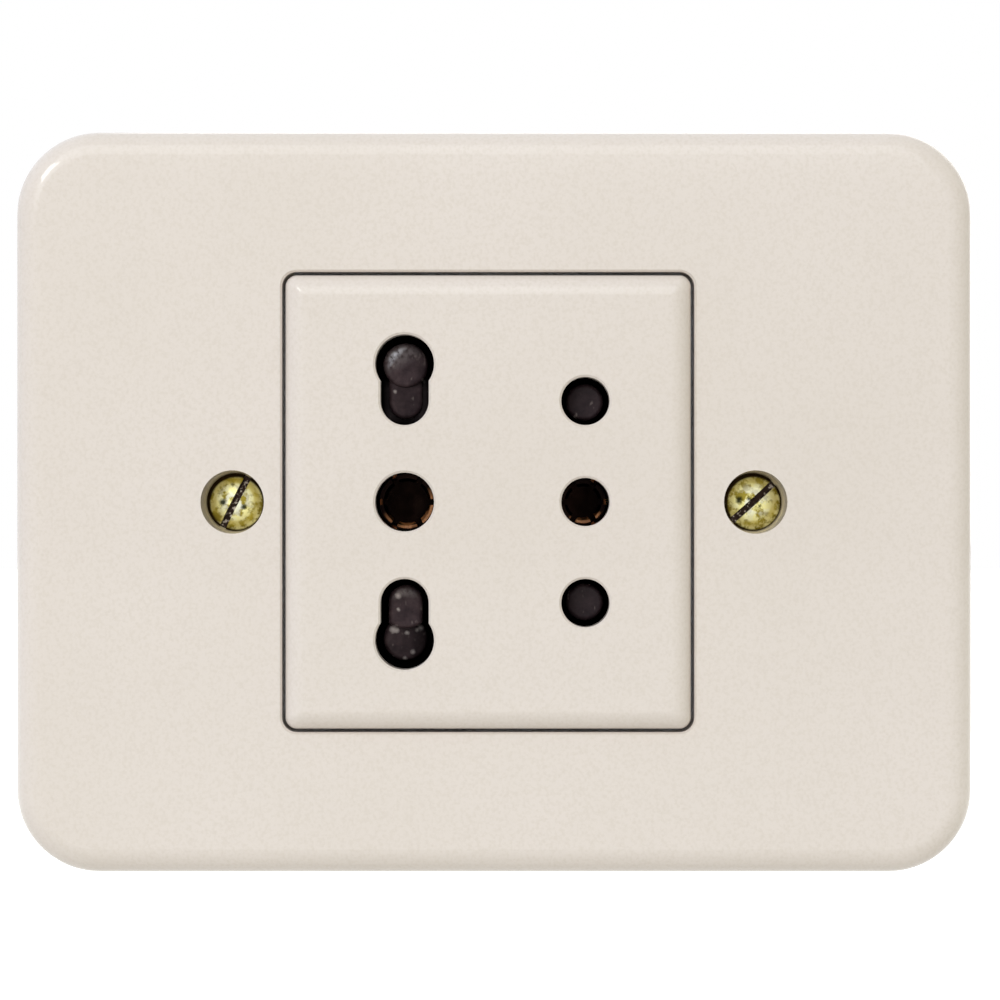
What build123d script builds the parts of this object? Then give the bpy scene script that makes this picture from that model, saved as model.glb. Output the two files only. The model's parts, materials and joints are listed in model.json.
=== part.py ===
from build123d import *
from math import cos, radians, sin, tan
import os

os.makedirs("parts", exist_ok=True)

# The part's frame: X runs right, Z up and Y into the wall, and the origin is on the wall plane behind the
# middle of the plate. A height is measured from the wall plane towards the room, so it is negative in the box.

# Standard plugs: three round pins in a row, at 26 mm for 16 A and at 19 mm for 10 A
pin_span_16a = 26.0
pin_span_10a = 19.0
pin_radius_16a = 2.5
pin_radius_10a = 2.0
pin_clearance = 0.27

# Where the two outlets stand on the plate
column_16a = -8.4
column_pitch = 17.0
insert_x = -0.55

# Wall plate
plate_width = 91.0
plate_height = 70.5
plate_depth = 8.0
plate_corner = 7.9
plate_edge_round = 2.4
plate_wall = 2.0
window_gap = 0.3
window_corner = 1.4
window_chamfer = 0.2
collar_wall = 1.4
collar_back = 3.2
rib_thickness = 1.2
rib_back = 4.6
rib_spacing = 23.0

# Plate screws and the recesses that they sit in
plate_screw_span = 49.5
recess_radius = 3.0
recess_depth = 3.0
plate_screw_radius = 1.45
plate_screw_clearance = 0.25
plate_screw_head_radius = 2.75
plate_screw_head_lip = 0.2
plate_screw_dome = 0.6
plate_screw_tip = -4.0
plate_screw_point = 0.7
plate_screw_slot_width = 0.65
plate_screw_slot_depth = 0.95
plate_screw_slot_angles = {"left": 63.0, "right": 42.0}
screw_boss_wall = 2.6

# Mounting frame
frame_width = 76.0
frame_height = 58.0
frame_corner = 5.0
frame_thickness = 1.2
frame_window_clearance = 0.15
frame_lip_height = 4.0
frame_lip_length = 56.0
frame_hole_clearance = 0.05
collar_height = 1.2
collar_radius = 1.95
box_screw_span = 60.0
box_slot_width = 4.2
box_slot_length = 5.4

# Socket cover
cover_width = 38.4
cover_height = 42.95
cover_corner = 1.1
cover_border = 2.0
cover_face = 9.5
cover_face_thickness = 2.0
cover_wall = 1.6
opening_chamfer = 0.2

# Housing behind the cover
body_clearance = 0.3
body_corner = 1.0
guide_thickness = 1.2
base_front = 3.0
base_side_wall = 1.6
base_end_wall = 2.6
earth_chamber_height = 8.6
partition = 2.0
floor_front = -13.0
floor_thickness = 2.0
lug_width = 6.0
lug_spacing = 18.0
lug_depth = 0.9
lug_length = 3.6

# Housing screws
housing_screw_inset = 4.275
housing_screw_radius = 1.1
housing_screw_length = 22.6
housing_screw_point = 2.2
housing_screw_head_radius = 2.0
housing_screw_head_height = 1.5
housing_screw_head_chamfer = 0.8
housing_screw_cross_length = 2.4
housing_screw_cross_width = 0.6
housing_screw_cross_depth = 0.9
thread_clearance = 0.05
shank_clearance = 0.3
base_boss_radius = 2.3
cover_boss_radius = 2.1
cover_boss_hole_depth = 4.0

# Shutters, their springs and the guide plate that carries them
guide_hole_clearance = 0.8
shutter_clearance = 0.1
shutter_front_clearance = 0.4
shutter_pad_thickness = 1.0
shutter_overlap = 0.43
shutter_pad_corner = 0.8
shutter_middle_gap = 0.5
arm_wall = 0.6
spring_slot = 2.4
boss_inset_16a = 0.65
boss_inset_10a = 0.5
boss_step = 0.5
boss_slope = 12.0
boss_round = 0.4
boss_end_arc = 2.55
post_width = 1.0
post_height = 3.0
rail_clearance = 0.2
rail_thickness = 0.8
rail_height = 2.8
spring_radius = 0.95
spring_wire = 0.3
spring_turns = 5
spring_end_gap = 0.05

# Contacts and bus bars
contact_top = 2.6
contact_sheet = 0.4
contact_grip = 0.5
contact_mouth_grip = 0.2
contact_slack = 0.3
throat_depth = 0.9
neck_depth = 6.0
tulip_slit = 0.6
tulip_slit_angles = (0, 60, 120)
tulip_slit_depth = 11.6
leaf_height_16a = 3.4
leaf_height_10a = 3.2
bar_thickness = 1.0
bar_end_overhang = 3.0
bar_inner_margin = 2.4
bar_outer_margin = 1.5
bar_corner = 1.0
earth_bar_height = 5.0
rivet_radius = 1.0
rivet_hole_clearance = 0.05
rivet_head_radius = 1.7
rivet_head_height = 0.6
rivet_recess_clearance = 0.2

# Terminals in the tower on the back
terminal_size = 7.0
terminal_depth = 9.0
terminal_edge = 0.4
terminal_stub_radius = 1.25
terminal_stub_head_radius = 2.0
terminal_stub_head_height = 0.6
wire_bore_radius = 2.0
wire_bore_depth = 4.6
wire_entry_radius = 2.3
terminal_screw_radius = 1.7
terminal_screw_head_radius = 2.75
terminal_screw_head_height = 1.6
terminal_screw_lift = 0.4
terminal_screw_slot_width = 0.8
terminal_screw_slot_depth = 0.8
terminal_clearance = 0.1
tower_side_wall = 1.6
tower_end_wall = 0.7
tower_back_wall = 1.9
tower_access_radius = 3.1
gusset_thickness = 1.2
gusset_reach = 3.6
gusset_depth = 5.0

# Sizes and places that follow from the values above
column_10a = column_16a + column_pitch
middle_x = (column_16a + column_10a) / 2
row_16a = pin_span_16a / 2
row_10a = pin_span_10a / 2
opening_16a = pin_radius_16a + pin_clearance
opening_10a = pin_radius_10a + pin_clearance
window_width = cover_width + 2 * window_gap
window_height = cover_height + 2 * window_gap
plate_inside = plate_depth - plate_wall
recess_floor = plate_depth - recess_depth
plate_screw_hole = plate_screw_radius + plate_screw_clearance
plate_boss_back = frame_thickness + collar_height
cover_inside = cover_face - cover_face_thickness
body_width = cover_width - 2 * cover_wall - 2 * body_clearance
body_height = cover_height - 2 * cover_wall - 2 * body_clearance
housing_screw_z = cover_height / 2 - housing_screw_inset
guide_front = base_front + guide_thickness
floor_back = floor_front - floor_thickness
bar_front = floor_front + bar_thickness
chamber_width = body_width - 2 * base_side_wall
chamber_inner = earth_chamber_height / 2 + partition
chamber_outer = body_height / 2 - base_end_wall
bar_inner = row_10a - bar_inner_margin
bar_outer = row_16a + bar_outer_margin
bar_middle = (bar_inner + bar_outer) / 2
double_rivet_z = (row_10a + row_16a) / 2
terminal_back = floor_front - terminal_depth
wire_bore_height = floor_front - wire_bore_depth
pocket_size = terminal_size + 2 * terminal_clearance
pocket_back = terminal_back - terminal_clearance
tower_back = pocket_back - tower_back_wall
tower_width = pocket_size + 2 * tower_side_wall
tower_height = 2 * bar_middle + pocket_size + 2 * tower_end_wall
arm_z = (opening_16a + row_10a - opening_10a) / 2
arm_half = spring_slot / 2 + arm_wall
pad_start = arm_z + arm_half
shutter_back = guide_front + shutter_clearance
shutter_front = cover_inside - shutter_front_clearance
spring_height = (shutter_back + shutter_front) / 2

# The rows above and below the earth row, and the outlets to the left and right
rows = {"line": 1, "neutral": -1}
outlets = {"16a": -1, "10a": 1}
column = {"16a": column_16a, "10a": column_10a}
opening = {"16a": opening_16a, "10a": opening_10a}
pad_half = {name: opening[name] + shutter_overlap for name in outlets}
pad_end = {
    "16a": row_16a + opening_16a + shutter_overlap,
    "10a": row_10a + opening_10a + shutter_overlap,
}


def level(height, x=0.0, z=0.0):
    """A plane parallel to the wall, facing the room, with its local y along Z."""
    return Plane(origin=(x, -height, z), x_dir=(1, 0, 0), z_dir=(0, -1, 0))


def section(x=0.0, z=0.0):
    """A plane square to the wall: local x runs along X and local y is the height above the wall."""
    return Plane(origin=(x, 0, z), x_dir=(1, 0, 0), z_dir=(0, 0, -1))


def outward(x=0.0, z=0.0):
    """The axis through (x, z) that points out of the wall."""
    return Axis((x, 0, z), (0, -1, 0))


def keyhole(large, small, sign):
    """A round 16 A opening with a slot of the 10 A width towards the middle, in the open sketch."""
    with Locations((0, sign * row_16a)):
        Circle(large)
    with Locations((0, sign * (row_16a + row_10a) / 2)):
        Rectangle(2 * small, row_16a - row_10a)
    with Locations((0, sign * row_10a)):
        Circle(small)


def pin_openings(large, small):
    """The seven openings of the two outlets, in the open sketch on the plate's own axes."""
    for sign in rows.values():
        with Locations((column_16a, 0)):
            keyhole(large, small, sign)
    with Locations((column_16a, 0)):
        Circle(large)
    with Locations((column_10a, 0), (column_10a, row_10a), (column_10a, -row_10a)):
        Circle(small)


# Wall plate: a shallow moulded shell with a window for the insert and two screw bosses
plate_screw_spots = [(-plate_screw_span / 2, 0), (plate_screw_span / 2, 0)]
with BuildPart() as wall_plate:
    with BuildSketch(level(0)):
        RectangleRounded(plate_width, plate_height, plate_corner)
    extrude(amount=plate_depth)
    plate_front = wall_plate.faces().sort_by(Axis.Y)[0]
    fillet(plate_front.edges(), plate_edge_round)
    with BuildSketch(level(0)):
        RectangleRounded(
            plate_width - 2 * plate_wall,
            plate_height - 2 * plate_wall,
            plate_corner - plate_wall,
        )
    extrude(amount=plate_inside, mode=Mode.SUBTRACT)
    with BuildSketch(level(rib_back)):
        Rectangle(plate_width - plate_wall, rib_thickness)
        with Locations((insert_x - rib_spacing / 2, 0), (insert_x + rib_spacing / 2, 0)):
            Rectangle(rib_thickness, plate_height - plate_wall)
    extrude(amount=plate_inside - rib_back)
    with BuildSketch(level(collar_back, insert_x)):
        RectangleRounded(
            window_width + 2 * collar_wall,
            window_height + 2 * collar_wall,
            window_corner + collar_wall,
        )
    extrude(amount=plate_inside - collar_back)
    with BuildSketch(level(plate_boss_back)):
        with Locations(plate_screw_spots):
            Circle(plate_screw_hole + screw_boss_wall)
    extrude(amount=plate_inside - plate_boss_back)
    with BuildSketch(level(0, insert_x)):
        RectangleRounded(window_width, window_height, window_corner)
    extrude(amount=plate_depth, mode=Mode.SUBTRACT)
    plate_front = wall_plate.faces().sort_by(Axis.Y)[0]
    chamfer(plate_front.inner_wires()[0].edges(), window_chamfer)
    for x, z in plate_screw_spots:
        with BuildSketch(section(x, z)):
            with BuildLine():
                Polyline(
                    (0, 0),
                    (plate_screw_hole, 0),
                    (plate_screw_hole, recess_floor - recess_radius + plate_screw_hole),
                    (recess_radius, recess_floor),
                    (recess_radius, plate_depth),
                    (0, plate_depth),
                    close=True,
                )
            make_face()
        revolve(axis=outward(x, z), mode=Mode.SUBTRACT)
wall_plate.part.label = "wall_plate"
export_step(wall_plate.part, "parts/wall_plate.step")

# Plate screws: raised countersunk heads that seat on the cone at the bottom of the plate's recesses
head_edge = recess_floor - (recess_radius - plate_screw_head_radius)
head_cone_end = head_edge - (plate_screw_head_radius - plate_screw_radius)
head_rim = head_edge + plate_screw_head_lip
head_top = head_rim + plate_screw_dome
for side, (x, z) in zip(plate_screw_slot_angles, plate_screw_spots):
    with BuildPart() as plate_screw:
        with BuildSketch(section(x, z)):
            with BuildLine():
                Polyline(
                    (0, head_top),
                    (0, plate_screw_tip),
                    (plate_screw_radius - plate_screw_point, plate_screw_tip),
                    (plate_screw_radius, plate_screw_tip + plate_screw_point),
                    (plate_screw_radius, head_cone_end),
                    (plate_screw_head_radius, head_edge),
                    (plate_screw_head_radius, head_rim),
                )
                dome_radius = (plate_screw_head_radius**2 + plate_screw_dome**2) / (2 * plate_screw_dome)
                RadiusArc((plate_screw_head_radius, head_rim), (0, head_top), -dome_radius)
            make_face()
        revolve(axis=outward(x, z))
        with BuildSketch(level(head_top - plate_screw_slot_depth, x, z)):
            Rectangle(
                2 * plate_screw_head_radius + plate_screw_slot_width,
                plate_screw_slot_width,
                rotation=plate_screw_slot_angles[side],
            )
        extrude(amount=plate_screw_slot_depth, mode=Mode.SUBTRACT)
    plate_screw.part.label = f"plate_screw_{side}"
    export_step(plate_screw.part, f"parts/plate_screw_{side}.step")

# Mounting frame: pressed steel, with raised collars for the plate screws and slots for the box screws
with BuildPart() as mounting_frame:
    with BuildSketch(level(0)):
        RectangleRounded(frame_width, frame_height, frame_corner)
    extrude(amount=frame_thickness)
    lip_z = (frame_height - frame_thickness) / 2
    with BuildSketch(level(frame_thickness)):
        with Locations((0, lip_z), (0, -lip_z)):
            Rectangle(frame_lip_length, frame_thickness)
    extrude(amount=frame_lip_height - frame_thickness)
    with BuildSketch(level(frame_thickness)):
        with Locations(plate_screw_spots):
            Circle(collar_radius)
    extrude(amount=collar_height)
    with BuildSketch(level(0)):
        with Locations((insert_x, 0)):
            RectangleRounded(
                body_width + 2 * frame_window_clearance,
                body_height + 2 * frame_window_clearance,
                body_corner + frame_window_clearance,
            )
        with Locations(plate_screw_spots):
            Circle(plate_screw_radius + frame_hole_clearance)
        with Locations((-box_screw_span / 2, 0), (box_screw_span / 2, 0)):
            SlotOverall(box_slot_length, box_slot_width)
    extrude(amount=plate_boss_back, mode=Mode.SUBTRACT)
mounting_frame.part.label = "mounting_frame"
export_step(mounting_frame.part, "parts/mounting_frame.step")

# Socket cover: the moulded insert, a cup with a rounded border, pin openings and two screw bosses inside
housing_screw_spots = [(middle_x, housing_screw_z), (middle_x, -housing_screw_z)]
with BuildPart() as socket_cover:
    with BuildSketch(level(frame_thickness, insert_x)):
        RectangleRounded(cover_width, cover_height, cover_corner)
    extrude(amount=cover_face - frame_thickness)
    cover_front = socket_cover.faces().sort_by(Axis.Y)[0]
    fillet(cover_front.edges(), cover_border)
    with BuildSketch(level(frame_thickness, insert_x)):
        Rectangle(cover_width - 2 * cover_wall, cover_height - 2 * cover_wall)
    extrude(amount=cover_inside - frame_thickness, mode=Mode.SUBTRACT)
    with BuildSketch(level(guide_front)):
        with Locations(housing_screw_spots):
            Circle(cover_boss_radius)
    extrude(amount=cover_inside - guide_front)
    with BuildSketch(level(guide_front)):
        with Locations(housing_screw_spots):
            Circle(housing_screw_radius + thread_clearance)
    extrude(amount=cover_boss_hole_depth, mode=Mode.SUBTRACT)
    with BuildSketch(level(cover_inside)):
        pin_openings(opening_16a, opening_10a)
    extrude(amount=cover_face_thickness, mode=Mode.SUBTRACT)
    cover_front = socket_cover.faces().sort_by(Axis.Y)[0]
    rim_edges = [edge for wire in cover_front.inner_wires() for edge in wire.edges()]
    chamfer(rim_edges, opening_chamfer)
socket_cover.part.label = "socket_cover"
export_step(socket_cover.part, "parts/socket_cover.step")

# Shutter guide: the plate under the shutters, with their rails and the posts that the springs push on
post_x = {
    name: column[name] + side * (pad_half[name] - arm_wall - shutter_clearance - post_width / 2)
    for name, side in outlets.items()
}
rail_outer_x = {name: insert_x + side * (body_width / 2 - rail_clearance) for name, side in outlets.items()}
rail_inner_x = {name: column[name] - side * pad_half[name] for name, side in outlets.items()}
with BuildPart() as shutter_guide:
    with BuildSketch(level(base_front, insert_x)):
        RectangleRounded(body_width, body_height, body_corner)
    extrude(amount=guide_thickness)
    with BuildSketch(level(base_front)):
        pin_openings(pin_radius_16a + guide_hole_clearance, pin_radius_10a + guide_hole_clearance)
        with Locations(housing_screw_spots):
            Circle(housing_screw_radius + shank_clearance)
    extrude(amount=guide_thickness, mode=Mode.SUBTRACT)
    with BuildSketch(level(guide_front)):
        for name in outlets:
            with Locations((post_x[name], arm_z), (post_x[name], -arm_z)):
                Rectangle(post_width, spring_slot - 2 * rail_clearance)
    extrude(amount=post_height)
    with BuildSketch(level(guide_front)):
        for name in outlets:
            rail_x = (rail_outer_x[name] + rail_inner_x[name]) / 2
            rail_z = pad_end[name] + rail_clearance + rail_thickness / 2
            with Locations((rail_x, rail_z), (rail_x, -rail_z)):
                Rectangle(abs(rail_outer_x[name] - rail_inner_x[name]), rail_thickness)
    extrude(amount=rail_height)
shutter_guide.part.label = "shutter_guide"
export_step(shutter_guide.part, "parts/shutter_guide.step")

# Socket base: three contact chambers, snap lugs behind the frame and a terminal tower on the back
terminal_rows = {"line": bar_middle, "earth": 0.0, "neutral": -bar_middle}
chambers = {
    "line": (chamber_inner, chamber_outer),
    "earth": (-earth_chamber_height / 2, earth_chamber_height / 2),
    "neutral": (-chamber_outer, -chamber_inner),
}
rivet_spots = [
    (column_16a, double_rivet_z),
    (column_16a, 0),
    (column_16a, -double_rivet_z),
    (column_10a, row_10a),
    (column_10a, 0),
    (column_10a, -row_10a),
]
with BuildPart() as socket_base:
    with BuildSketch(level(floor_back, insert_x)):
        RectangleRounded(body_width, body_height, body_corner)
    extrude(amount=base_front - floor_back)
    with BuildSketch(level(floor_front, insert_x)):
        for low, high in chambers.values():
            with Locations((0, (low + high) / 2)):
                Rectangle(chamber_width, high - low)
    extrude(amount=base_front - floor_front, mode=Mode.SUBTRACT)
    with BuildSketch(level(floor_front)):
        with Locations(housing_screw_spots):
            Circle(base_boss_radius)
    extrude(amount=base_front - floor_front)
    with BuildSketch(level(tower_back, middle_x)):
        Rectangle(tower_width, tower_height)
    extrude(amount=floor_back - tower_back)
    for x_sign in (-1, 1):
        for z_sign in (-1, 1):
            with BuildSketch(section(middle_x, z_sign * bar_middle / 2)):
                with BuildLine():
                    Polyline(
                        (x_sign * tower_width / 2, floor_back),
                        (x_sign * (tower_width / 2 + gusset_reach), floor_back),
                        (x_sign * tower_width / 2, floor_back - gusset_depth),
                        close=True,
                    )
                make_face()
            extrude(amount=gusset_thickness / 2, both=True)
    for z_sign in (-1, 1):
        for x in (insert_x - lug_spacing / 2, insert_x + lug_spacing / 2):
            with BuildSketch(Plane.YZ.offset(x)):
                with BuildLine():
                    Polyline(
                        (0, z_sign * body_height / 2),
                        (0, z_sign * (body_height / 2 + lug_depth)),
                        (lug_length, z_sign * body_height / 2),
                        close=True,
                    )
                make_face()
            extrude(amount=lug_width / 2, both=True)
    with BuildSketch(level(pocket_back, middle_x)):
        with Locations([(0, z) for z in terminal_rows.values()]):
            Rectangle(pocket_size, pocket_size)
    extrude(amount=floor_front - pocket_back, mode=Mode.SUBTRACT)
    with BuildSketch(level(tower_back, middle_x)):
        with Locations([(0, z) for z in terminal_rows.values()]):
            Circle(tower_access_radius)
    extrude(amount=tower_back_wall, mode=Mode.SUBTRACT)
    with BuildSketch(Plane.YZ.offset(middle_x)):
        with Locations([(-wire_bore_height, z) for z in terminal_rows.values()]):
            Circle(wire_entry_radius)
    extrude(amount=tower_width, mode=Mode.SUBTRACT)
    with BuildSketch(level(floor_front)):
        with Locations(rivet_spots):
            Circle(rivet_head_radius + rivet_recess_clearance)
    extrude(amount=-rivet_head_height - rivet_recess_clearance, mode=Mode.SUBTRACT)
    with BuildSketch(level(floor_back)):
        with Locations(housing_screw_spots):
            Circle(housing_screw_radius + shank_clearance)
    extrude(amount=base_front - floor_back, mode=Mode.SUBTRACT)
socket_base.part.label = "socket_base"
export_step(socket_base.part, "parts/socket_base.step")

# Housing screws: from the back of the base, through the guide, into the cover's bosses
for place, (x, z) in zip(("top", "bottom"), housing_screw_spots):
    screw_back = floor_back - housing_screw_head_height
    screw_tip = floor_back + housing_screw_length
    with BuildPart() as housing_screw:
        with BuildSketch(section(x, z)):
            with BuildLine():
                Polyline(
                    (0, screw_back),
                    (housing_screw_head_radius - housing_screw_head_chamfer, screw_back),
                    (housing_screw_head_radius, screw_back + housing_screw_head_chamfer),
                    (housing_screw_head_radius, floor_back),
                    (housing_screw_radius, floor_back),
                    (housing_screw_radius, screw_tip - housing_screw_point),
                    (0, screw_tip),
                    close=True,
                )
            make_face()
        revolve(axis=outward(x, z))
        with BuildSketch(level(screw_back, x, z)):
            for angle in (0, 90):
                Rectangle(housing_screw_cross_length, housing_screw_cross_width, rotation=angle)
        extrude(amount=housing_screw_cross_depth, mode=Mode.SUBTRACT)
    housing_screw.part.label = f"housing_screw_{place}"
    export_step(housing_screw.part, f"parts/housing_screw_{place}.step")


def slope_top(shutter, name, side, sign, radius, top):
    """Cut a shutter's boss at a slope that turns a pin's push into the slide, and round its rim."""
    angle = radians(boss_slope)
    rise = tan(angle)
    reach = pad_half[name]
    with BuildSketch(section(column[name], sign * (pad_start + pad_end[name]) / 2)) as wedge:
        with BuildLine():
            Polyline(
                (side * reach, top + (reach - radius) * rise),
                (-side * reach, top - (reach + radius) * rise),
                (-side * reach, cover_face),
                (side * reach, cover_face),
                close=True,
            )
        make_face()
    extrude(wedge.sketch, amount=(pad_end[name] - pad_start) / 2, both=True, mode=Mode.SUBTRACT)
    slope = Plane(origin=(0, 0, 0), z_dir=(-side * sin(angle), -cos(angle), 0))
    fillet(shutter.faces().filter_by(slope).sort_by(Axis.Y)[0].edges(), boss_round)


def round_zone(sign):
    """The boss under a keyhole's round end, in the open sketch. Gives half its width."""
    radius = opening_16a - boss_inset_16a
    with Locations((0, sign * row_16a)):
        Circle(radius)
    return radius


def slot_zone(sign):
    """The boss under a keyhole's slot, with a flatter outer end, in the open sketch. Gives half its width."""
    radius = opening_10a - boss_inset_16a
    near = row_10a - radius
    far = pad_end["16a"]
    with Locations((0, sign * row_10a)):
        Circle(boss_end_arc)
    with Locations((0, sign * (near + far) / 2)):
        SlotOverall(far - near, 2 * radius, rotation=90, mode=Mode.INTERSECT)
    return radius


# Shutters: a pad with a sloped boss under each opening, and an arm that loops round its return spring
for name, side in outlets.items():
    pad_outer = column[name] + side * pad_half[name]
    arm_end = middle_x + side * shutter_middle_gap
    arm_x = (pad_outer + arm_end) / 2
    arm_length = abs(pad_outer - arm_end)
    for row, sign in rows.items():
        with BuildPart() as shutter:
            with BuildSketch(level(shutter_back)):
                with Locations((arm_x, sign * arm_z)):
                    Rectangle(arm_length, 2 * arm_half)
                    Rectangle(arm_length - 2 * arm_wall, spring_slot, mode=Mode.SUBTRACT)
            extrude(amount=shutter_front - shutter_back)
            with BuildSketch(level(shutter_back, column[name])) as pad_outline:
                with Locations((0, sign * (pad_start + pad_end[name]) / 2)):
                    Rectangle(2 * pad_half[name], pad_end[name] - pad_start)
                outer_corners = pad_outline.vertices().group_by(Axis.Y)[-1 if sign > 0 else 0]
                fillet(outer_corners, shutter_pad_corner)
            extrude(amount=shutter_pad_thickness)
            boss_plane = level(shutter_back + shutter_pad_thickness, column[name])
            if name == "16a":
                zones = [round_zone, slot_zone] if row == "neutral" else [slot_zone, round_zone]
                for zone, top in zip(zones, (shutter_front - boss_step, shutter_front)):
                    with BuildSketch(boss_plane) as boss:
                        radius = zone(sign)
                    extrude(boss.sketch, amount=top - shutter_back - shutter_pad_thickness)
                    slope_top(shutter, name, side, sign, radius, top)
            else:
                with BuildSketch(boss_plane):
                    with Locations((0, sign * row_10a)):
                        Circle(opening_10a - boss_inset_10a)
                extrude(amount=shutter_front - shutter_back - shutter_pad_thickness)
                slope_top(shutter, name, side, sign, opening_10a - boss_inset_10a, shutter_front)
        shutter.part.label = f"{row}_shutter_{name}"
        export_step(shutter.part, f"parts/{row}_shutter_{name}.step")

# Return springs: one in each shutter's loop, between the guide's post and the loop's far end
for name, side in outlets.items():
    spring_start = post_x[name] - side * (post_width / 2 + spring_end_gap)
    spring_end = middle_x + side * (shutter_middle_gap + arm_wall + spring_end_gap)
    spring_length = abs(spring_start - spring_end) - spring_wire
    coil_start = min(spring_start, spring_end) + spring_wire / 2
    for row, sign in rows.items():
        with BuildPart() as spring:
            with BuildLine() as coil:
                Helix(
                    pitch=spring_length / spring_turns,
                    height=spring_length,
                    radius=spring_radius,
                    center=(coil_start, -spring_height, sign * arm_z),
                    direction=(1, 0, 0),
                )
            with BuildSketch(Plane(origin=coil.line @ 0, z_dir=coil.line % 0)):
                Rectangle(spring_wire, spring_wire)
            sweep(path=coil.line, is_frenet=True)
        spring.part.label = f"{row}_spring_{name}"
        export_step(spring.part, f"parts/{row}_spring_{name}.step")

# Bus bars: one for each row, on the base's floor, with holes for the contacts' and terminal's rivets
bars = {
    "line": (bar_inner, bar_outer, [(column_16a, double_rivet_z), (column_10a, row_10a)]),
    "earth": (-earth_bar_height / 2, earth_bar_height / 2, [(column_16a, 0), (column_10a, 0)]),
    "neutral": (-bar_outer, -bar_inner, [(column_16a, -double_rivet_z), (column_10a, -row_10a)]),
}
for name, (low, high, spots) in bars.items():
    with BuildPart() as bar:
        with BuildSketch(level(floor_front)):
            with Locations((middle_x, (low + high) / 2)):
                RectangleRounded(column_pitch + 2 * bar_end_overhang, high - low, bar_corner)
            with Locations(spots):
                Circle(rivet_radius + rivet_hole_clearance, mode=Mode.SUBTRACT)
            with Locations((middle_x, terminal_rows[name])):
                Circle(terminal_stub_radius + rivet_hole_clearance, mode=Mode.SUBTRACT)
        extrude(amount=bar_thickness)
    bar.part.label = f"{name}_bar"
    export_step(bar.part, f"parts/{name}_bar.step")


def contact_profile(pin):
    """Radius and height of a contact's inner side, from its mouth down to the bar."""
    return [
        (pin - contact_mouth_grip, contact_top),
        (pin - contact_grip, contact_top - throat_depth),
        (pin + contact_slack, contact_top - neck_depth),
        (pin + contact_slack, bar_front + contact_sheet),
    ]


# Round contacts: turned tulips, slit into six leaves, riveted to the bars
tulips = {
    "earth_contact_16a": (column_16a, 0.0, pin_radius_16a),
    "earth_contact_10a": (column_10a, 0.0, pin_radius_10a),
    "line_contact_10a": (column_10a, row_10a, pin_radius_10a),
    "neutral_contact_10a": (column_10a, -row_10a, pin_radius_10a),
}
for name, (x, z, pin) in tulips.items():
    inner = contact_profile(pin)
    outer = [(radius + contact_sheet, height) for radius, height in inner[:3]]
    with BuildPart() as tulip:
        with BuildSketch(section(x, z)):
            with BuildLine():
                Polyline(
                    (0, inner[-1][1]),
                    *reversed(inner),
                    *outer,
                    (outer[-1][0], bar_front),
                    (rivet_radius, bar_front),
                    (rivet_radius, floor_front),
                    (rivet_head_radius, floor_front),
                    (rivet_head_radius, floor_front - rivet_head_height),
                    (0, floor_front - rivet_head_height),
                    close=True,
                )
            make_face()
        revolve(axis=outward(x, z))
        with BuildSketch(level(contact_top, x, z)):
            for angle in tulip_slit_angles:
                Rectangle(2 * (outer[-1][0] + contact_sheet), tulip_slit, rotation=angle)
        extrude(amount=-tulip_slit_depth, mode=Mode.SUBTRACT)
    tulip.part.label = name
    export_step(tulip.part, f"parts/{name}.step")

# Double contacts: folded leaves that take either pin of the 16 A outlet, riveted to the bars
leaf_zones = [(row_10a, pin_radius_10a, leaf_height_10a), (row_16a, pin_radius_16a, leaf_height_16a)]
for row, sign in rows.items():
    with BuildPart() as leaves:
        for zone_z, pin, leaf_height in leaf_zones:
            inner = contact_profile(pin)
            right_side = [(radius + contact_sheet, height) for radius, height in reversed(inner[:3])]
            right_side = [(right_side[0][0], bar_front)] + right_side + inner
            left_side = [(-radius, height) for radius, height in reversed(right_side)]
            with BuildSketch(section(column_16a, sign * zone_z)):
                with BuildLine():
                    Polyline(*right_side, *left_side, close=True)
                make_face()
            extrude(amount=leaf_height / 2, both=True)
        with BuildSketch(level(bar_front, column_16a)):
            with Locations((0, sign * double_rivet_z)):
                Rectangle(2 * (pin_radius_10a + contact_slack), row_16a - row_10a)
        extrude(amount=contact_sheet)
        with BuildSketch(level(floor_front, column_16a, sign * double_rivet_z)):
            Circle(rivet_radius)
        extrude(amount=bar_thickness)
        with BuildSketch(level(floor_front - rivet_head_height, column_16a, sign * double_rivet_z)):
            Circle(rivet_head_radius)
        extrude(amount=rivet_head_height)
    leaves.part.label = f"{row}_contact_16a"
    export_step(leaves.part, f"parts/{row}_contact_16a.step")

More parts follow.
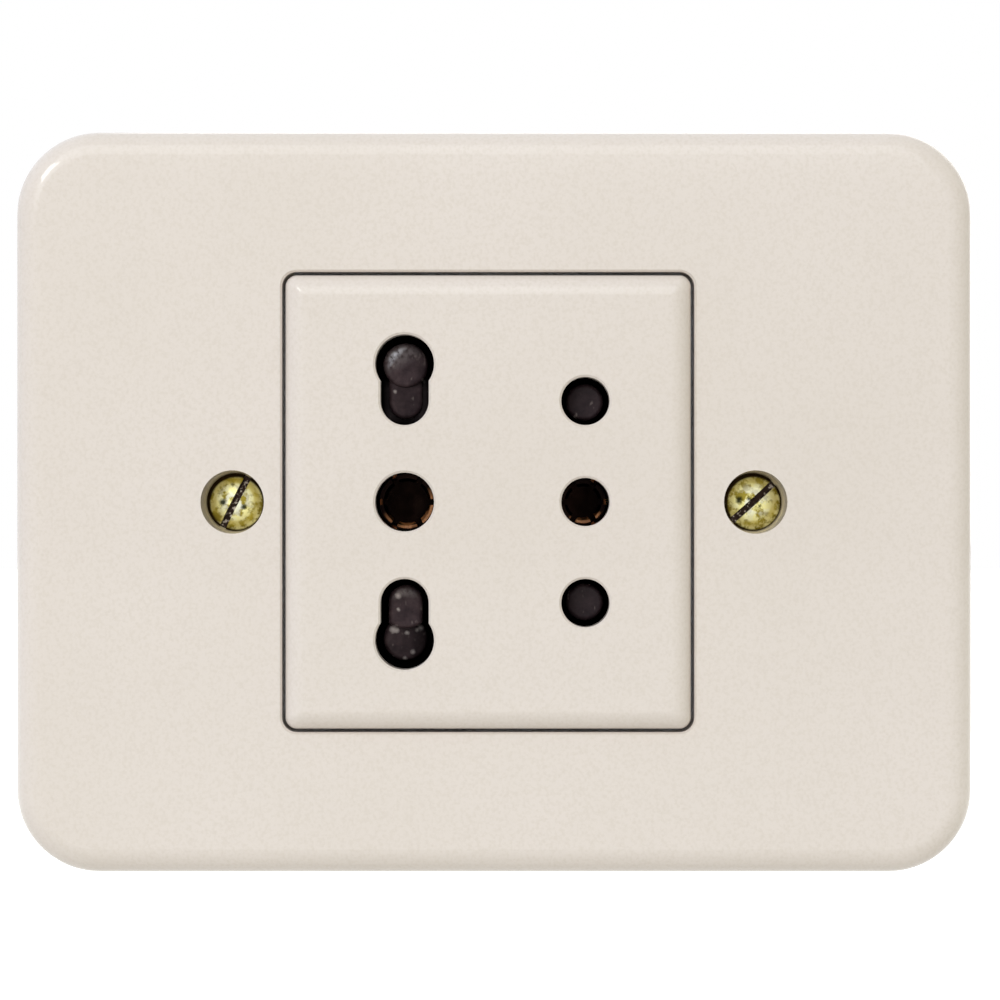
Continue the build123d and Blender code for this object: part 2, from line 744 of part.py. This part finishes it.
# Terminals: drilled brass blocks riveted to the bars, each with its clamping screw from the back
for name, z in terminal_rows.items():
    with BuildPart() as terminal:
        with BuildSketch(level(terminal_back, middle_x, z)):
            Rectangle(terminal_size, terminal_size)
        extrude(amount=terminal_depth)
        chamfer(terminal.edges().filter_by(Axis.Y), terminal_edge)
        with BuildSketch(level(floor_front, middle_x, z)):
            Circle(terminal_stub_radius)
        extrude(amount=bar_thickness)
        with BuildSketch(level(bar_front, middle_x, z)):
            Circle(terminal_stub_head_radius)
        extrude(amount=terminal_stub_head_height)
        with BuildSketch(Plane.YZ.offset(middle_x)):
            with Locations((-wire_bore_height, z)):
                Circle(wire_bore_radius)
        extrude(amount=terminal_size, both=True, mode=Mode.SUBTRACT)
        with BuildSketch(level(terminal_back, middle_x, z)):
            Circle(terminal_screw_radius + thread_clearance)
        extrude(amount=wire_bore_height - terminal_back, mode=Mode.SUBTRACT)
    terminal.part.label = f"{name}_terminal"
    export_step(terminal.part, f"parts/{name}_terminal.step")

    screw_head = terminal_back - terminal_screw_lift
    screw_back = screw_head - terminal_screw_head_height
    screw_end = wire_bore_height - wire_bore_radius - thread_clearance
    with BuildPart() as terminal_screw:
        with BuildSketch(level(screw_head, middle_x, z)):
            Circle(terminal_screw_radius)
        extrude(amount=screw_end - screw_head)
        with BuildSketch(level(screw_back, middle_x, z)):
            Circle(terminal_screw_head_radius)
        extrude(amount=terminal_screw_head_height)
        with BuildSketch(level(screw_back, middle_x, z)):
            Rectangle(
                terminal_screw_slot_width,
                2 * terminal_screw_head_radius + terminal_screw_slot_width,
            )
        extrude(amount=terminal_screw_slot_depth, mode=Mode.SUBTRACT)
    terminal_screw.part.label = f"{name}_terminal_screw"
    export_step(terminal_screw.part, f"parts/{name}_terminal_screw.step")
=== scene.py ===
import json
from math import cos, pi, sin

import bpy
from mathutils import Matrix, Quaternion, Vector


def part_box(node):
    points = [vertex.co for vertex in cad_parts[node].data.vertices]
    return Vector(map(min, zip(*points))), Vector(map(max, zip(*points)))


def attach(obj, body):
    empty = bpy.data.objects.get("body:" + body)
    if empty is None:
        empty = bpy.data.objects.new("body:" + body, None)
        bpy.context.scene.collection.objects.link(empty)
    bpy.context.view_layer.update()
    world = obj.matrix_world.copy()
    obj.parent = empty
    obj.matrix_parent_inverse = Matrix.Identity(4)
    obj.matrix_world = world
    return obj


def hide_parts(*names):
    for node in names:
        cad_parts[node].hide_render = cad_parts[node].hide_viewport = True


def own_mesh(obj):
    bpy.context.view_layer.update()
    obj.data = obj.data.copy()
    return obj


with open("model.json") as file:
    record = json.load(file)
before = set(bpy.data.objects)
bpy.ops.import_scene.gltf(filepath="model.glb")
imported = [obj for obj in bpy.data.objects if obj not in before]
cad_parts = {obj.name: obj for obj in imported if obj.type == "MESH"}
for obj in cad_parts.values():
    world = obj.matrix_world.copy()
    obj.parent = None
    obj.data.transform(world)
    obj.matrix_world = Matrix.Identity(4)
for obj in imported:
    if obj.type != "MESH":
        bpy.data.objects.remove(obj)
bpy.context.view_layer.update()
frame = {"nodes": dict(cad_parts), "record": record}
scene = bpy.context.scene

# Lengths are in metres. Heights are measured out from the wall plane, and radii from the axis of
# the screw or contact that they belong to. A pair is where a mask starts and ends.
SCREW_X = 0.02475
COLUMN_16A_X = -0.0084
COLUMN_10A_X = 0.0086
ACROSS = (1.0, 0.0)
UP = (0.0, 1.0)

# Wall plate: the edge of a screw recess, its wall, the seat in it and the seat's middle, where
# shade is painted nearly black
RECESS_RADIUS = (0.00302, 0.00306)
RECESS_WALL_HEIGHT = (0.0052, 0.0085)
SEAT_HEIGHT = (0.001, 0.00502)
SHADED_SEAT_RADIUS = (0.00268, 0.00274)

# Shutters: from the pads up to the bosses, where the painted black shade ends, and the pad beside
# the upper keyhole's slot, which keeps its brown
BOSS_HEIGHT = (0.0056, 0.0066)
BROWN_PAD_ASIDE = (0.0015, 0.0022)
BROWN_PAD_Z = (0.0084, 0.0108)

# Earth contacts: the mouth's lower end, and how far outside a pin the leaves' inner side reaches
MOUTH_HEIGHT = (0.0016, 0.002)
LEAF_REACH = (0.0004, 0.0007)

# Plate screws: marks on the head from its middle to its edge, with a painted highlight in the
# middle and painted shade at the rim, the slot, and the thread
MIDDLE_HIGHLIGHT_RADIUS = (0.0006, 0.0021)
YELLOW_BAND_RADIUS = (0.0019, 0.00225)
SHADED_RIM_RADIUS = (0.00242, 0.00258)
SHADED_RIM_SHIFT = (0.0001, -0.00012)
HEAD_RADIUS = (0.00268, 0.00272)
SLOT_HEIGHT = (0.0045, 0.00488)
SHANK_HEIGHT = (0.0030, 0.0034)
THREAD_PITCH = 0.0005

# Return springs
COIL_WIRE = 0.00032
COIL_TURNS = 5
STEPS_PER_TURN = 30
STEPS_ROUND_WIRE = 10

FLOOR_Z = -0.12
FLOOR_REACH = 4

# Painted highlights on the 16 A shutters' bosses, arcs on the side that faces the light: z, radius,
# width, the way they face, fade along that way, strength and display colour
SHUTTER_HIGHLIGHTS = [
    (0.0130, 0.0009, 0.0009, (-0.5, 0.86), (-0.0002, 0.0016), 0.9, (134, 126, 128)),
    (0.0130, 0.00130, 0.00030, (-0.75, 0.66), (0.0009, 0.00145), 1.0, (206, 208, 220)),
    (-0.0095, 0.00085, 0.00040, (-0.1, 0.99), (0.0002, 0.0010), 0.8, (130, 122, 122)),
]

# Light specks on the shutters, dust and painted highlights where edges catch the light (the spots
# near z -12.2 mm and at z -8.9 mm): x, z and size
SHUTTER_DUST_AND_HIGHLIGHTS = [
    (-0.00910, -0.00890, 0.00022),
    (-0.00956, -0.01212, 0.00032),
    (-0.00925, -0.01222, 0.00018),
    (-0.00700, -0.01200, 0.00026),
    (-0.00730, -0.01220, 0.00016),
    (-0.00828, -0.01245, 0.00014),
    (-0.00910, -0.01020, 0.00012),
    (-0.00772, -0.01428, 0.00016),
    (-0.00850, -0.01490, 0.00017),
    (-0.00970, -0.01480, 0.00013),
    (-0.00670, 0.01160, 0.00014),
    (-0.00940, 0.01050, 0.00012),
]

# Painted glints on the earth contacts' mouths, on the side the light falls on: the axis, the pin's
# radius, the way to the glint and its fade that way
EARTH_PAINTED_GLINTS = {
    "earth_contact_16a": (COLUMN_16A_X, 0.0025, (0.5, -0.87), (-0.1, 0.9)),
    "earth_contact_10a": (COLUMN_10A_X, 0.0020, (0.15, -0.99), (0.6, 0.98)),
}

# Painted dark reflections on the plate screws' heads: x and z from the screw's axis, and size
LEFT_DARK_REFLECTIONS = [(-0.00125, 0.0, 0.00052), (0.00085, -0.0005, 0.0004), (-0.0003, 0.0017, 0.0003)]
RIGHT_DARK_REFLECTIONS = [(-0.0014, 0.0001, 0.0005), (-0.0004, 0.0003, 0.00035), (0.0006, -0.0004, 0.0003)]


def linear(red, green, blue):
    """A colour given as 0 to 255 display values, as the shader's linear values."""
    values = [c / 255 for c in (red, green, blue)]
    curve = [c / 12.92 if c <= 0.04045 else ((c + 0.055) / 1.055) ** 2.4 for c in values]
    return (*curve, 1.0)


class Nodes:
    """A node tree with short calls that add, set and link its nodes."""

    def __init__(self, tree):
        self.tree = tree

    def put(self, value, socket):
        """Link an output to the socket, or set the socket to a constant."""
        if isinstance(value, bpy.types.NodeSocket):
            self.tree.links.new(value, socket)
        else:
            socket.default_value = value

    def node(self, kind, inputs, **settings):
        made = self.tree.nodes.new(kind)
        for key, value in settings.items():
            setattr(made, key, value)
        for key, value in inputs.items():
            self.put(value, made.inputs[key])
        return made

    def math(self, operation, first, second=0.0):
        return self.node("ShaderNodeMath", {0: first, 1: second}, operation=operation).outputs[0]

    def vector_math(self, operation, *values):
        """A number for LENGTH and DOT_PRODUCT, and a vector for the other operations."""
        made = self.node("ShaderNodeVectorMath", dict(enumerate(values)), operation=operation)
        return made.outputs["Value" if operation in ("LENGTH", "DOT_PRODUCT") else "Vector"]

    def spread(self, value, low, high, over=(0.3, 0.7)):
        """Low to high as the value goes over a range, held at both ends."""
        inputs = {
            "Value": value,
            "From Min": over[0],
            "From Max": over[1],
            "To Min": low,
            "To Max": high,
        }
        return self.node("ShaderNodeMapRange", inputs).outputs["Result"]

    def within(self, value, limits, soft):
        """1 between the limits, falling to 0 over the soft distance outside them."""
        low, high = limits
        rise = self.spread(value, 0.0, 1.0, (low - soft, low))
        fall = self.spread(value, 1.0, 0.0, (high, high + soft))
        return self.math("MULTIPLY", rise, fall)

    def mix(self, factor, first, second):
        """A colour between the first and the second one."""
        made = self.node("ShaderNodeMix", {0: factor, 6: first, 7: second}, data_type="RGBA")
        return made.outputs[2]

    def sees_backdrop(self):
        """1 for camera, glossy and transmission rays, which see the backdrop's own colour."""
        rays = self.node("ShaderNodeLightPath", {}).outputs
        either = self.math("MAXIMUM", rays["Is Camera Ray"], rays["Is Glossy Ray"])
        return self.math("MAXIMUM", either, rays["Is Transmission Ray"])


class Shader(Nodes):
    """A new material's nodes, placed in the part's own coordinates."""

    def __init__(self, name):
        self.material = bpy.data.materials.new(name)
        self.material.use_nodes = True
        super().__init__(self.material.node_tree)
        self.bsdf = self.tree.nodes["Principled BSDF"]
        self.place = self.node("ShaderNodeTexCoord", {}).outputs["Object"]

    def set(self, **values):
        """Set or link the inputs of the surface, with underscores for the spaces in their names."""
        for key, value in values.items():
            self.put(value, self.bsdf.inputs[key.replace("_", " ")])

    def stretched(self, scale):
        mapping = self.node("ShaderNodeMapping", {"Vector": self.place, "Scale": scale})
        return mapping.outputs["Vector"]

    def noise(self, scale, detail=2.0, roughness=0.5, vector=None):
        inputs = {
            "Vector": vector or self.place,
            "Scale": scale,
            "Detail": detail,
            "Roughness": roughness,
        }
        return self.node("ShaderNodeTexNoise", inputs).outputs["Fac"]

    def bump(self, height, distance, strength, below=None):
        inputs = {"Height": height, "Distance": distance, "Strength": strength}
        if below is not None:
            inputs["Normal"] = below
        return self.node("ShaderNodeBump", inputs).outputs["Normal"]

    def height(self):
        """How far a point stands out from the wall plane."""
        split = self.node("ShaderNodeSeparateXYZ", {0: self.place})
        return self.math("MULTIPLY", split.outputs["Y"], -1.0)

    def from_axis(self, x, z, mirrored=False):
        """Distance from the axis through (x, z), square to the wall; mirrored takes -x as x."""
        place = self.vector_math("ABSOLUTE", self.place) if mirrored else self.place
        offset = self.vector_math("MULTIPLY_ADD", place, (1.0, 0.0, 1.0), (-x, 0.0, -z))
        return self.vector_math("LENGTH", offset)

    def toward(self, x, z, direction):
        """How far a point lies from (x, z) along a direction across the face."""
        offset = self.vector_math("SUBTRACT", self.place, (x, 0.0, z))
        return self.vector_math("DOT_PRODUCT", offset, (direction[0], 0.0, direction[1]))

    def arc(self, x, z, radius, width, direction, over):
        """1 on the side of a ring round (x, z) that a direction points to."""
        ring = self.within(self.from_axis(x, z), (radius - width / 2, radius + width / 2), width)
        side = self.spread(self.toward(x, z, direction), 0.0, 1.0, over)
        return self.math("MULTIPLY", ring, side)


def ivory_plastic(name, light, dark):
    """Satin moulded plastic: faint colour drift and grain, with shade in the screw recesses."""
    shader = Shader(name)
    drift = shader.spread(shader.noise(45.0, 3.0), 0.0, 1.0)
    color = shader.mix(drift, light, dark)
    speck = shader.spread(shader.noise(3200.0, 1.0), 0.0, 0.5, (0.42, 0.75))
    color = shader.mix(speck, color, linear(216, 206, 195))

    # Painted shade in the screw recesses: the walls darken towards the seat, the seat is painted
    # darker than the plate, and nearly black close round the screw's axis, under the head's edge
    from_screw = shader.from_axis(SCREW_X, 0.0, mirrored=True)
    height = shader.height()
    in_recess = shader.spread(from_screw, 1.0, 0.0, RECESS_RADIUS)
    shade = shader.math("MULTIPLY", in_recess, shader.spread(height, 0.3, 0.0, RECESS_WALL_HEIGHT))
    color = shader.mix(shade, color, linear(170, 154, 120))
    seat = shader.math("MULTIPLY", in_recess, shader.within(height, SEAT_HEIGHT, 0.0001))
    outer_seat = shader.spread(from_screw, 0.0, 1.0, SHADED_SEAT_RADIUS)
    seat_shade = shader.mix(outer_seat, linear(36, 26, 16), linear(196, 182, 148))
    color = shader.mix(seat, color, seat_shade)

    gloss = shader.spread(shader.noise(260.0, 4.0), 0.3, 0.38)
    wave = shader.bump(shader.noise(70.0, 2.0), 0.00002, 0.5)
    grain = shader.bump(shader.noise(2600.0, 3.0), 0.000005, 0.6, wave)
    shader.set(Base_Color=color, Roughness=gloss, Normal=grain)
    shader.set(IOR=1.49, Specular_IOR_Level=0.35, Coat_Weight=0.7, Coat_Roughness=0.07)
    return shader.material


def dark_plastic(name, light, dark):
    """Matt filled plastic with flow clouds and a spark-eroded grain."""
    shader = Shader(name)
    flow = shader.spread(shader.noise(90.0, 4.0, 0.6), 0.0, 1.0)
    gloss = shader.spread(shader.noise(700.0, 3.0), 0.42, 0.58)
    grain = shader.bump(shader.noise(1800.0, 3.0), 0.00001, 0.7)
    shader.set(Base_Color=shader.mix(flow, light, dark), Roughness=gloss, Normal=grain)
    shader.set(IOR=1.5, Specular_IOR_Level=0.35)
    return shader.material


def shutter_plastic(name):
    """Dark brown plastic with painted shade on the pads, and painted highlights and dust specks."""
    shader = Shader(name)
    clouds = shader.spread(shader.noise(900.0, 4.0, 0.6), 0.0, 1.0)
    tint = shader.mix(clouds, linear(74, 60, 63), linear(42, 31, 35))
    # Painted shade: the 10 A shutters are painted darker
    shade_on_10a = shader.spread(shader.toward(0.0, 0.0, ACROSS), 0.0, 0.6, (-0.001, 0.001))
    tint = shader.mix(shade_on_10a, tint, linear(30, 21, 25))
    scuffs = shader.noise(1500.0, 2.0, 0.5, shader.stretched((1.0, 1.0, 0.6)))
    tint = shader.mix(shader.spread(scuffs, 0.0, 0.5, (0.64, 0.75)), tint, linear(150, 138, 134))

    streaks = shader.noise(1900.0, 3.0, 0.6)
    # Painted highlights: pale arcs on the bosses' edges that face the light
    for z, radius, width, direction, over, strength, shown in SHUTTER_HIGHLIGHTS:
        painted_highlight = shader.arc(COLUMN_16A_X, z, radius, width, direction, over)
        patchy = shader.spread(streaks, 0.15, strength, (0.36, 0.56))
        tint = shader.mix(shader.math("MULTIPLY", painted_highlight, patchy), tint, linear(*shown))
    # Light specks: dust, and painted highlights where the bosses' edges catch the light
    for x, z, size in SHUTTER_DUST_AND_HIGHLIGHTS:
        ragged = shader.math("MULTIPLY", streaks, 0.0004)
        edge = shader.math("ADD", shader.from_axis(x, z), ragged)
        speck = shader.spread(edge, 0.85, 0.0, (0.00012 + 0.4 * size, 0.00032 + size))
        tint = shader.mix(speck, tint, linear(206, 196, 194))

    # Painted shade: the pads are painted near black and given no reflection, except beside the
    # upper keyhole's slot
    outside_painted_shade = shader.spread(shader.height(), 0.0, 1.0, BOSS_HEIGHT)
    aside = shader.math("ABSOLUTE", shader.toward(COLUMN_16A_X, 0.0, ACROSS))
    beside = shader.spread(aside, 0.75, 0.0, BROWN_PAD_ASIDE)
    along = shader.within(shader.toward(0.0, 0.0, UP), BROWN_PAD_Z, 0.001)
    outside_painted_shade = shader.math("MAXIMUM", outside_painted_shade, shader.math("MULTIPLY", beside, along))

    shader.set(
        Base_Color=shader.mix(outside_painted_shade, linear(3, 3, 3), tint),
        Specular_IOR_Level=shader.math("MULTIPLY", outside_painted_shade, 0.1),
        Roughness=shader.spread(shader.noise(600.0, 3.0), 0.2, 0.34),
        Normal=shader.bump(shader.noise(1300.0, 3.0), 0.000012, 0.8),
        IOR=1.5,
    )
    return shader.material


def metal(name, light, dark, roughness, grain, depth, stretch=(1.0, 1.0, 1.0), tarnish_and_shade=60.0):
    """Worked metal: tool marks along one way, a drifting tint and patches of duller surface."""
    shader = Shader(name)
    patches = shader.spread(shader.noise(tarnish_and_shade, 4.0), 0.0, 1.0)
    marks = shader.noise(grain, 5.0, 0.6, shader.stretched(stretch))
    shader.set(
        Base_Color=shader.mix(patches, light, dark),
        Roughness=shader.spread(marks, roughness - 0.07, roughness + 0.1),
        Normal=shader.bump(marks, depth, 0.6),
        Metallic=1.0,
    )
    return shader.material


def contact_bronze(name, glints=None):
    """Copper-coloured bronze; earth contacts have painted shade and glints in their mouths."""
    shader = Shader(name)
    clouds = shader.spread(shader.noise(500.0, 3.0), 0.0, 1.0)
    color = shader.mix(clouds, linear(240, 168, 118), linear(196, 112, 68))
    metallic = 1.0
    if glints:
        x, pin, direction, over = glints
        # Painted shade: the inside is painted near black. Painted glints: a bright copper,
        # non-metal patch on the mouth, on the side where the light falls.
        tarnish_and_shade = shader.spread(shader.noise(300.0, 4.0), 0.0, 1.0)
        inner_shade = shader.mix(tarnish_and_shade, linear(30, 19, 15), linear(14, 10, 9))
        radius = shader.from_axis(x, 0.0)
        glint_ring = shader.within(radius, (pin - 0.0006, pin + 0.00002), 0.00004)
        side = shader.math("DIVIDE", shader.toward(x, 0.0, direction), radius)
        glint = shader.math("MULTIPLY", glint_ring, shader.spread(side, 0.0, 1.0, over))
        patchy = shader.spread(shader.noise(900.0, 2.0), 0.2, 1.0, (0.36, 0.52))
        glint = shader.math("MULTIPLY", glint, patchy)
        mouth = shader.spread(shader.height(), 0.0, 1.0, MOUTH_HEIGHT)
        glint = shader.math("MULTIPLY", glint, mouth)
        inside = shader.spread(radius, 1.0, 0.0, tuple(pin + reach for reach in LEAF_REACH))
        color = shader.mix(inside, color, shader.mix(glint, inner_shade, linear(255, 172, 108)))
        metallic = shader.spread(glint, 1.0, 0.0, (0.0, 1.0))
    marks = shader.noise(160.0, 5.0, 0.6, shader.stretched((1.0, 14.0, 1.0)))
    shader.set(
        Base_Color=color,
        Metallic=metallic,
        Roughness=shader.spread(shader.noise(700.0, 3.0), 0.24, 0.4),
        Normal=shader.bump(marks, 0.00001, 0.6),
    )
    return shader.material


def plate_screw_zinc(name, center, dark_reflections):
    """Yellow passivated zinc: painted highlight, reflections and rim shade, dark slot, threaded
    shank.
    """
    shader = Shader(name)
    # Light and dark patches: the zinc's uneven passivation tone, with painted reflections in it
    patch = shader.noise(1150.0, 4.0, 0.6)
    patches = shader.spread(patch, 0.0, 1.0, (0.42, 0.53))
    color = shader.mix(patches, linear(142, 128, 50), linear(226, 219, 154))

    radius = shader.from_axis(center, 0.0)
    # Painted highlight: the middle of the head is painted pale
    middle = shader.spread(radius, 1.0, 0.0, MIDDLE_HIGHLIGHT_RADIUS)
    patchy = shader.spread(shader.noise(1250.0, 3.0), 0.0, 0.9, (0.46, 0.56))
    color = shader.mix(shader.math("MULTIPLY", middle, patchy), color, linear(214, 214, 196))
    band = shader.within(radius, YELLOW_BAND_RADIUS, 0.00018)
    patchy = shader.spread(shader.noise(700.0, 2.0), 0.0, 0.8)
    color = shader.mix(shader.math("MULTIPLY", band, patchy), color, linear(196, 178, 72))
    # Painted shade: a dark rim round the head, set off the axis so that it is wider on the upper
    # left
    shift_x, shift_z = SHADED_RIM_SHIFT
    rim = shader.spread(shader.from_axis(center + shift_x, shift_z), 0.0, 1.0, SHADED_RIM_RADIUS)
    color = shader.mix(rim, color, linear(48, 36, 18))
    # Painted reflections: dark spots on the head
    for x, z, size in dark_reflections:
        ragged = shader.math("MULTIPLY", patch, 0.0007)
        edge = shader.math("ADD", shader.from_axis(center + x, z), ragged)
        dark_reflection = shader.spread(edge, 0.95, 0.0, (size, size + 0.00028))
        color = shader.mix(dark_reflection, color, linear(34, 38, 22))

    height = shader.height()
    slot = shader.within(height, SLOT_HEIGHT, 0.00004)
    slot = shader.math("MULTIPLY", slot, shader.spread(radius, 1.0, 0.0, HEAD_RADIUS))
    dust = shader.spread(shader.noise(2400.0, 2.0), 0.0, 1.0, (0.53, 0.66))
    color = shader.mix(slot, color, shader.mix(dust, linear(44, 33, 28), linear(176, 164, 150)))

    # The thread winds round the shank's axis, one pitch for each turn
    split = shader.node("ShaderNodeSeparateXYZ", {0: shader.place}).outputs
    angle = shader.math("ARCTAN2", split["Z"], shader.math("SUBTRACT", split["X"], center))
    climb = shader.math("DIVIDE", height, THREAD_PITCH)
    winding = shader.math("ADD", climb, shader.math("DIVIDE", angle, 2 * pi))
    thread = shader.math("PINGPONG", winding, 0.5)
    thread = shader.math("MULTIPLY", thread, shader.spread(height, 1.0, 0.0, SHANK_HEIGHT))
    marks = shader.noise(1400.0, 4.0, 0.6)
    shader.set(
        Base_Color=color,
        Roughness=shader.spread(marks, 0.36, 0.62),
        Normal=shader.bump(marks, 0.00003, 0.9, shader.bump(thread, 0.0003, 1.0)),
        Metallic=1.0,
    )
    return shader.material


materials = {
    "ivory_plastic": ivory_plastic("ivory_plastic", linear(229, 220, 213), linear(226, 217, 209)),
    "dark_plastic": dark_plastic("dark_plastic", linear(34, 34, 36), linear(24, 24, 26)),
    "shutter_plastic": shutter_plastic("shutter_plastic"),
    "frame_steel": metal(
        "frame_steel",
        linear(205, 208, 212),
        linear(176, 180, 186),
        roughness=0.34,
        grain=90.0,
        depth=0.000012,
        stretch=(1.0, 1.0, 18.0),
    ),
    "screw_steel": metal(
        "screw_steel",
        linear(200, 200, 202),
        linear(168, 168, 172),
        roughness=0.3,
        grain=800.0,
        depth=0.00001,
        tarnish_and_shade=300.0,
    ),
    "spring_steel": metal(
        "spring_steel",
        linear(196, 198, 202),
        linear(150, 152, 158),
        roughness=0.26,
        grain=1500.0,
        depth=0.000008,
        tarnish_and_shade=300.0,
    ),
    "contact_bronze": contact_bronze("contact_bronze"),
    "bar_brass": metal(
        "bar_brass",
        linear(222, 196, 128),
        linear(196, 160, 92),
        roughness=0.3,
        grain=100.0,
        depth=0.00001,
        stretch=(1.0, 1.0, 16.0),
    ),
}
own_materials = {
    "plate_screw_left": plate_screw_zinc("yellow_zinc_left", -SCREW_X, LEFT_DARK_REFLECTIONS),
    "plate_screw_right": plate_screw_zinc("yellow_zinc_right", SCREW_X, RIGHT_DARK_REFLECTIONS),
}
for name, glints in EARTH_PAINTED_GLINTS.items():
    own_materials[name] = contact_bronze(f"{name}_bronze", glints)
for part in frame["record"]["subparts"]:
    node = frame["nodes"][part["node"]]
    node.data.materials.clear()
    node.data.materials.append(own_materials.get(part["node"]) or materials[part["material_slot"]])


def wire_coil(name, start, end, z, height, radius, wire, turns):
    """A round-wire compression spring along X, with half a closed turn at each end."""
    along, around = STEPS_PER_TURN * turns, STEPS_ROUND_WIRE
    direction = 1 if end > start else -1
    low, high = start + direction * wire / 2, end - direction * wire / 2
    closed = 0.5 / turns
    side = Vector((1.0, 0.0, 0.0))
    verts, faces = [], []
    for i in range(along + 1):
        share = i / along
        eased = min(max((share - closed) / (1 - 2 * closed), 0.0), 1.0)
        x = low + (high - low) * eased
        angle = 2 * pi * (share * turns)
        center = Vector((x, -height + radius * cos(angle), z + radius * sin(angle)))
        out = Vector((0.0, cos(angle), sin(angle)))
        for k in range(around):
            spin = 2 * pi * k / around
            verts.append(center + (out * cos(spin) + side * sin(spin)) * wire / 2)
    for i in range(along):
        for k in range(around):
            a, b = i * around + k, i * around + (k + 1) % around
            faces.append((a, b, b + around, a + around))
    faces.append(tuple(reversed(range(around))))
    faces.append(tuple(along * around + k for k in range(around)))
    mesh = bpy.data.meshes.new(name)
    mesh.from_pydata(verts, [], faces)
    for polygon in mesh.polygons:
        polygon.use_smooth = True
    mesh.update()
    coil = bpy.data.objects.new(name, mesh)
    scene.collection.objects.link(coil)
    return coil


# Return springs: round wire in place of the plain swept ones, attached to the socket body.
# A spring's near end is at its post.
for node_name in [name for name in frame["nodes"] if "_spring_" in name]:
    row, outlet = node_name.split("_spring_")
    low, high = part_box(node_name)
    middle = (low + high) / 2
    near, far = (low.x, high.x) if outlet == "16a" else (high.x, low.x)
    radius = (high.z - low.z - COIL_WIRE) / 2
    coil = wire_coil(
        f"{row}_coil_{outlet}", near, far, middle.z, -middle.y, radius, COIL_WIRE, COIL_TURNS
    )
    coil.data.materials.append(materials["spring_steel"])
    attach(coil, "socket")
    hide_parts(node_name)
    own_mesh(coil)

# Floor: plain and pale, below the plate; it shows white to the camera and keeps the part's shadow
floor_mesh = bpy.data.meshes.new("floor")
corners = [(-1, -1), (1, -1), (1, 1), (-1, 1)]
floor_mesh.from_pydata(
    [(FLOOR_REACH * x, FLOOR_REACH * y, FLOOR_Z) for x, y in corners], [], [(0, 1, 2, 3)]
)
floor = bpy.data.objects.new("floor", floor_mesh)
scene.collection.objects.link(floor)

floor_paint = Shader("floor_paint")
split = floor_paint.node("ShaderNodeSeparateXYZ", {0: floor_paint.place}).outputs
flat = floor_paint.node("ShaderNodeCombineXYZ", {"X": split["X"], "Y": split["Y"]})
from_part = floor_paint.vector_math("LENGTH", flat.outputs[0])
glow = floor_paint.spread(from_part, 0.44, 0.9, (0.15, 0.42))
floor_paint.set(
    Base_Color=(0.75, 0.73, 0.68, 1.0),
    Roughness=0.9,
    Specular_IOR_Level=0.0,
    Emission_Color=(0.94, 0.97, 1.0, 1.0),
    Emission_Strength=floor_paint.math("MULTIPLY", glow, floor_paint.sees_backdrop()),
)
floor_mesh.materials.append(floor_paint.material)

# World: white to the eye and in reflections. The part itself gets a dimmer soft light, which goes
# from warm at the lower right to cool at the upper left.
world = bpy.data.worlds.new("studio")
scene.world = world
world.use_nodes = True
sky = Nodes(world.node_tree)
direction = sky.node("ShaderNodeTexCoord", {}).outputs["Generated"]
upper_left = sky.vector_math("DOT_PRODUCT", direction, (-0.8, 0.0, 0.6))
coolness = sky.spread(upper_left, 0.0, 1.0, (-0.8, 0.8))
soft_color = sky.mix(coolness, (0.86, 0.78, 0.43, 1.0), (1.01, 1.04, 1.16, 1.0))
soft = sky.tree.nodes["Background"]
sky.put(soft_color, soft.inputs["Color"])
sky.put(0.67, soft.inputs["Strength"])
white = sky.node("ShaderNodeBackground", {"Color": (1.0, 1.0, 1.0, 1.0), "Strength": 1.0})
choices = {0: sky.sees_backdrop(), 1: soft.outputs[0], 2: white.outputs[0]}
choose = sky.node("ShaderNodeMixShader", choices)
sky.put(choose.outputs[0], sky.tree.nodes["World Output"].inputs["Surface"])


def lamp(name, place, size, power, color=(1.0, 1.0, 1.0), roll=0.0):
    """A soft lamp at a place, turned towards the part and rolled about that line."""
    light = bpy.data.lights.new(name, "AREA")
    light.shape = "RECTANGLE"
    light.size, light.size_y = size
    light.energy = power
    light.color = color
    made = bpy.data.objects.new(name, light)
    made.location = place
    turned = (-Vector(place)).to_track_quat("-Z", "Y") @ Quaternion((0.0, 0.0, 1.0), roll)
    made.rotation_euler = turned.to_euler()
    scene.collection.objects.link(made)


# The narrow streak lamp makes the bright line on the plate's upper left corner
lamp("key_lamp", (-0.12, -0.84, 0.52), (1.0, 0.8), 3.1, (0.94, 0.99, 1.03))
lamp("streak_lamp", (-0.42, -0.59, 0.34), (0.11, 0.26), 0.9, roll=1.0)
lamp("back_lamp", (0.3, 0.85, 0.35), (1.0, 0.8), 2.2)

# Camera: square to the wall, with the part's face as large as in the photo
camera_data = bpy.data.cameras.new("camera")
camera_data.lens = 88.35
camera_data.sensor_width = 36.0
camera_data.clip_start = 0.01
camera = bpy.data.objects.new("camera", camera_data)
camera.location = (0.00057, -0.24, 0.00019)
camera.rotation_euler = (pi / 2, 0.0, 0.0)
scene.collection.objects.link(camera)
scene.camera = camera
scene.view_settings.view_transform = "Standard"
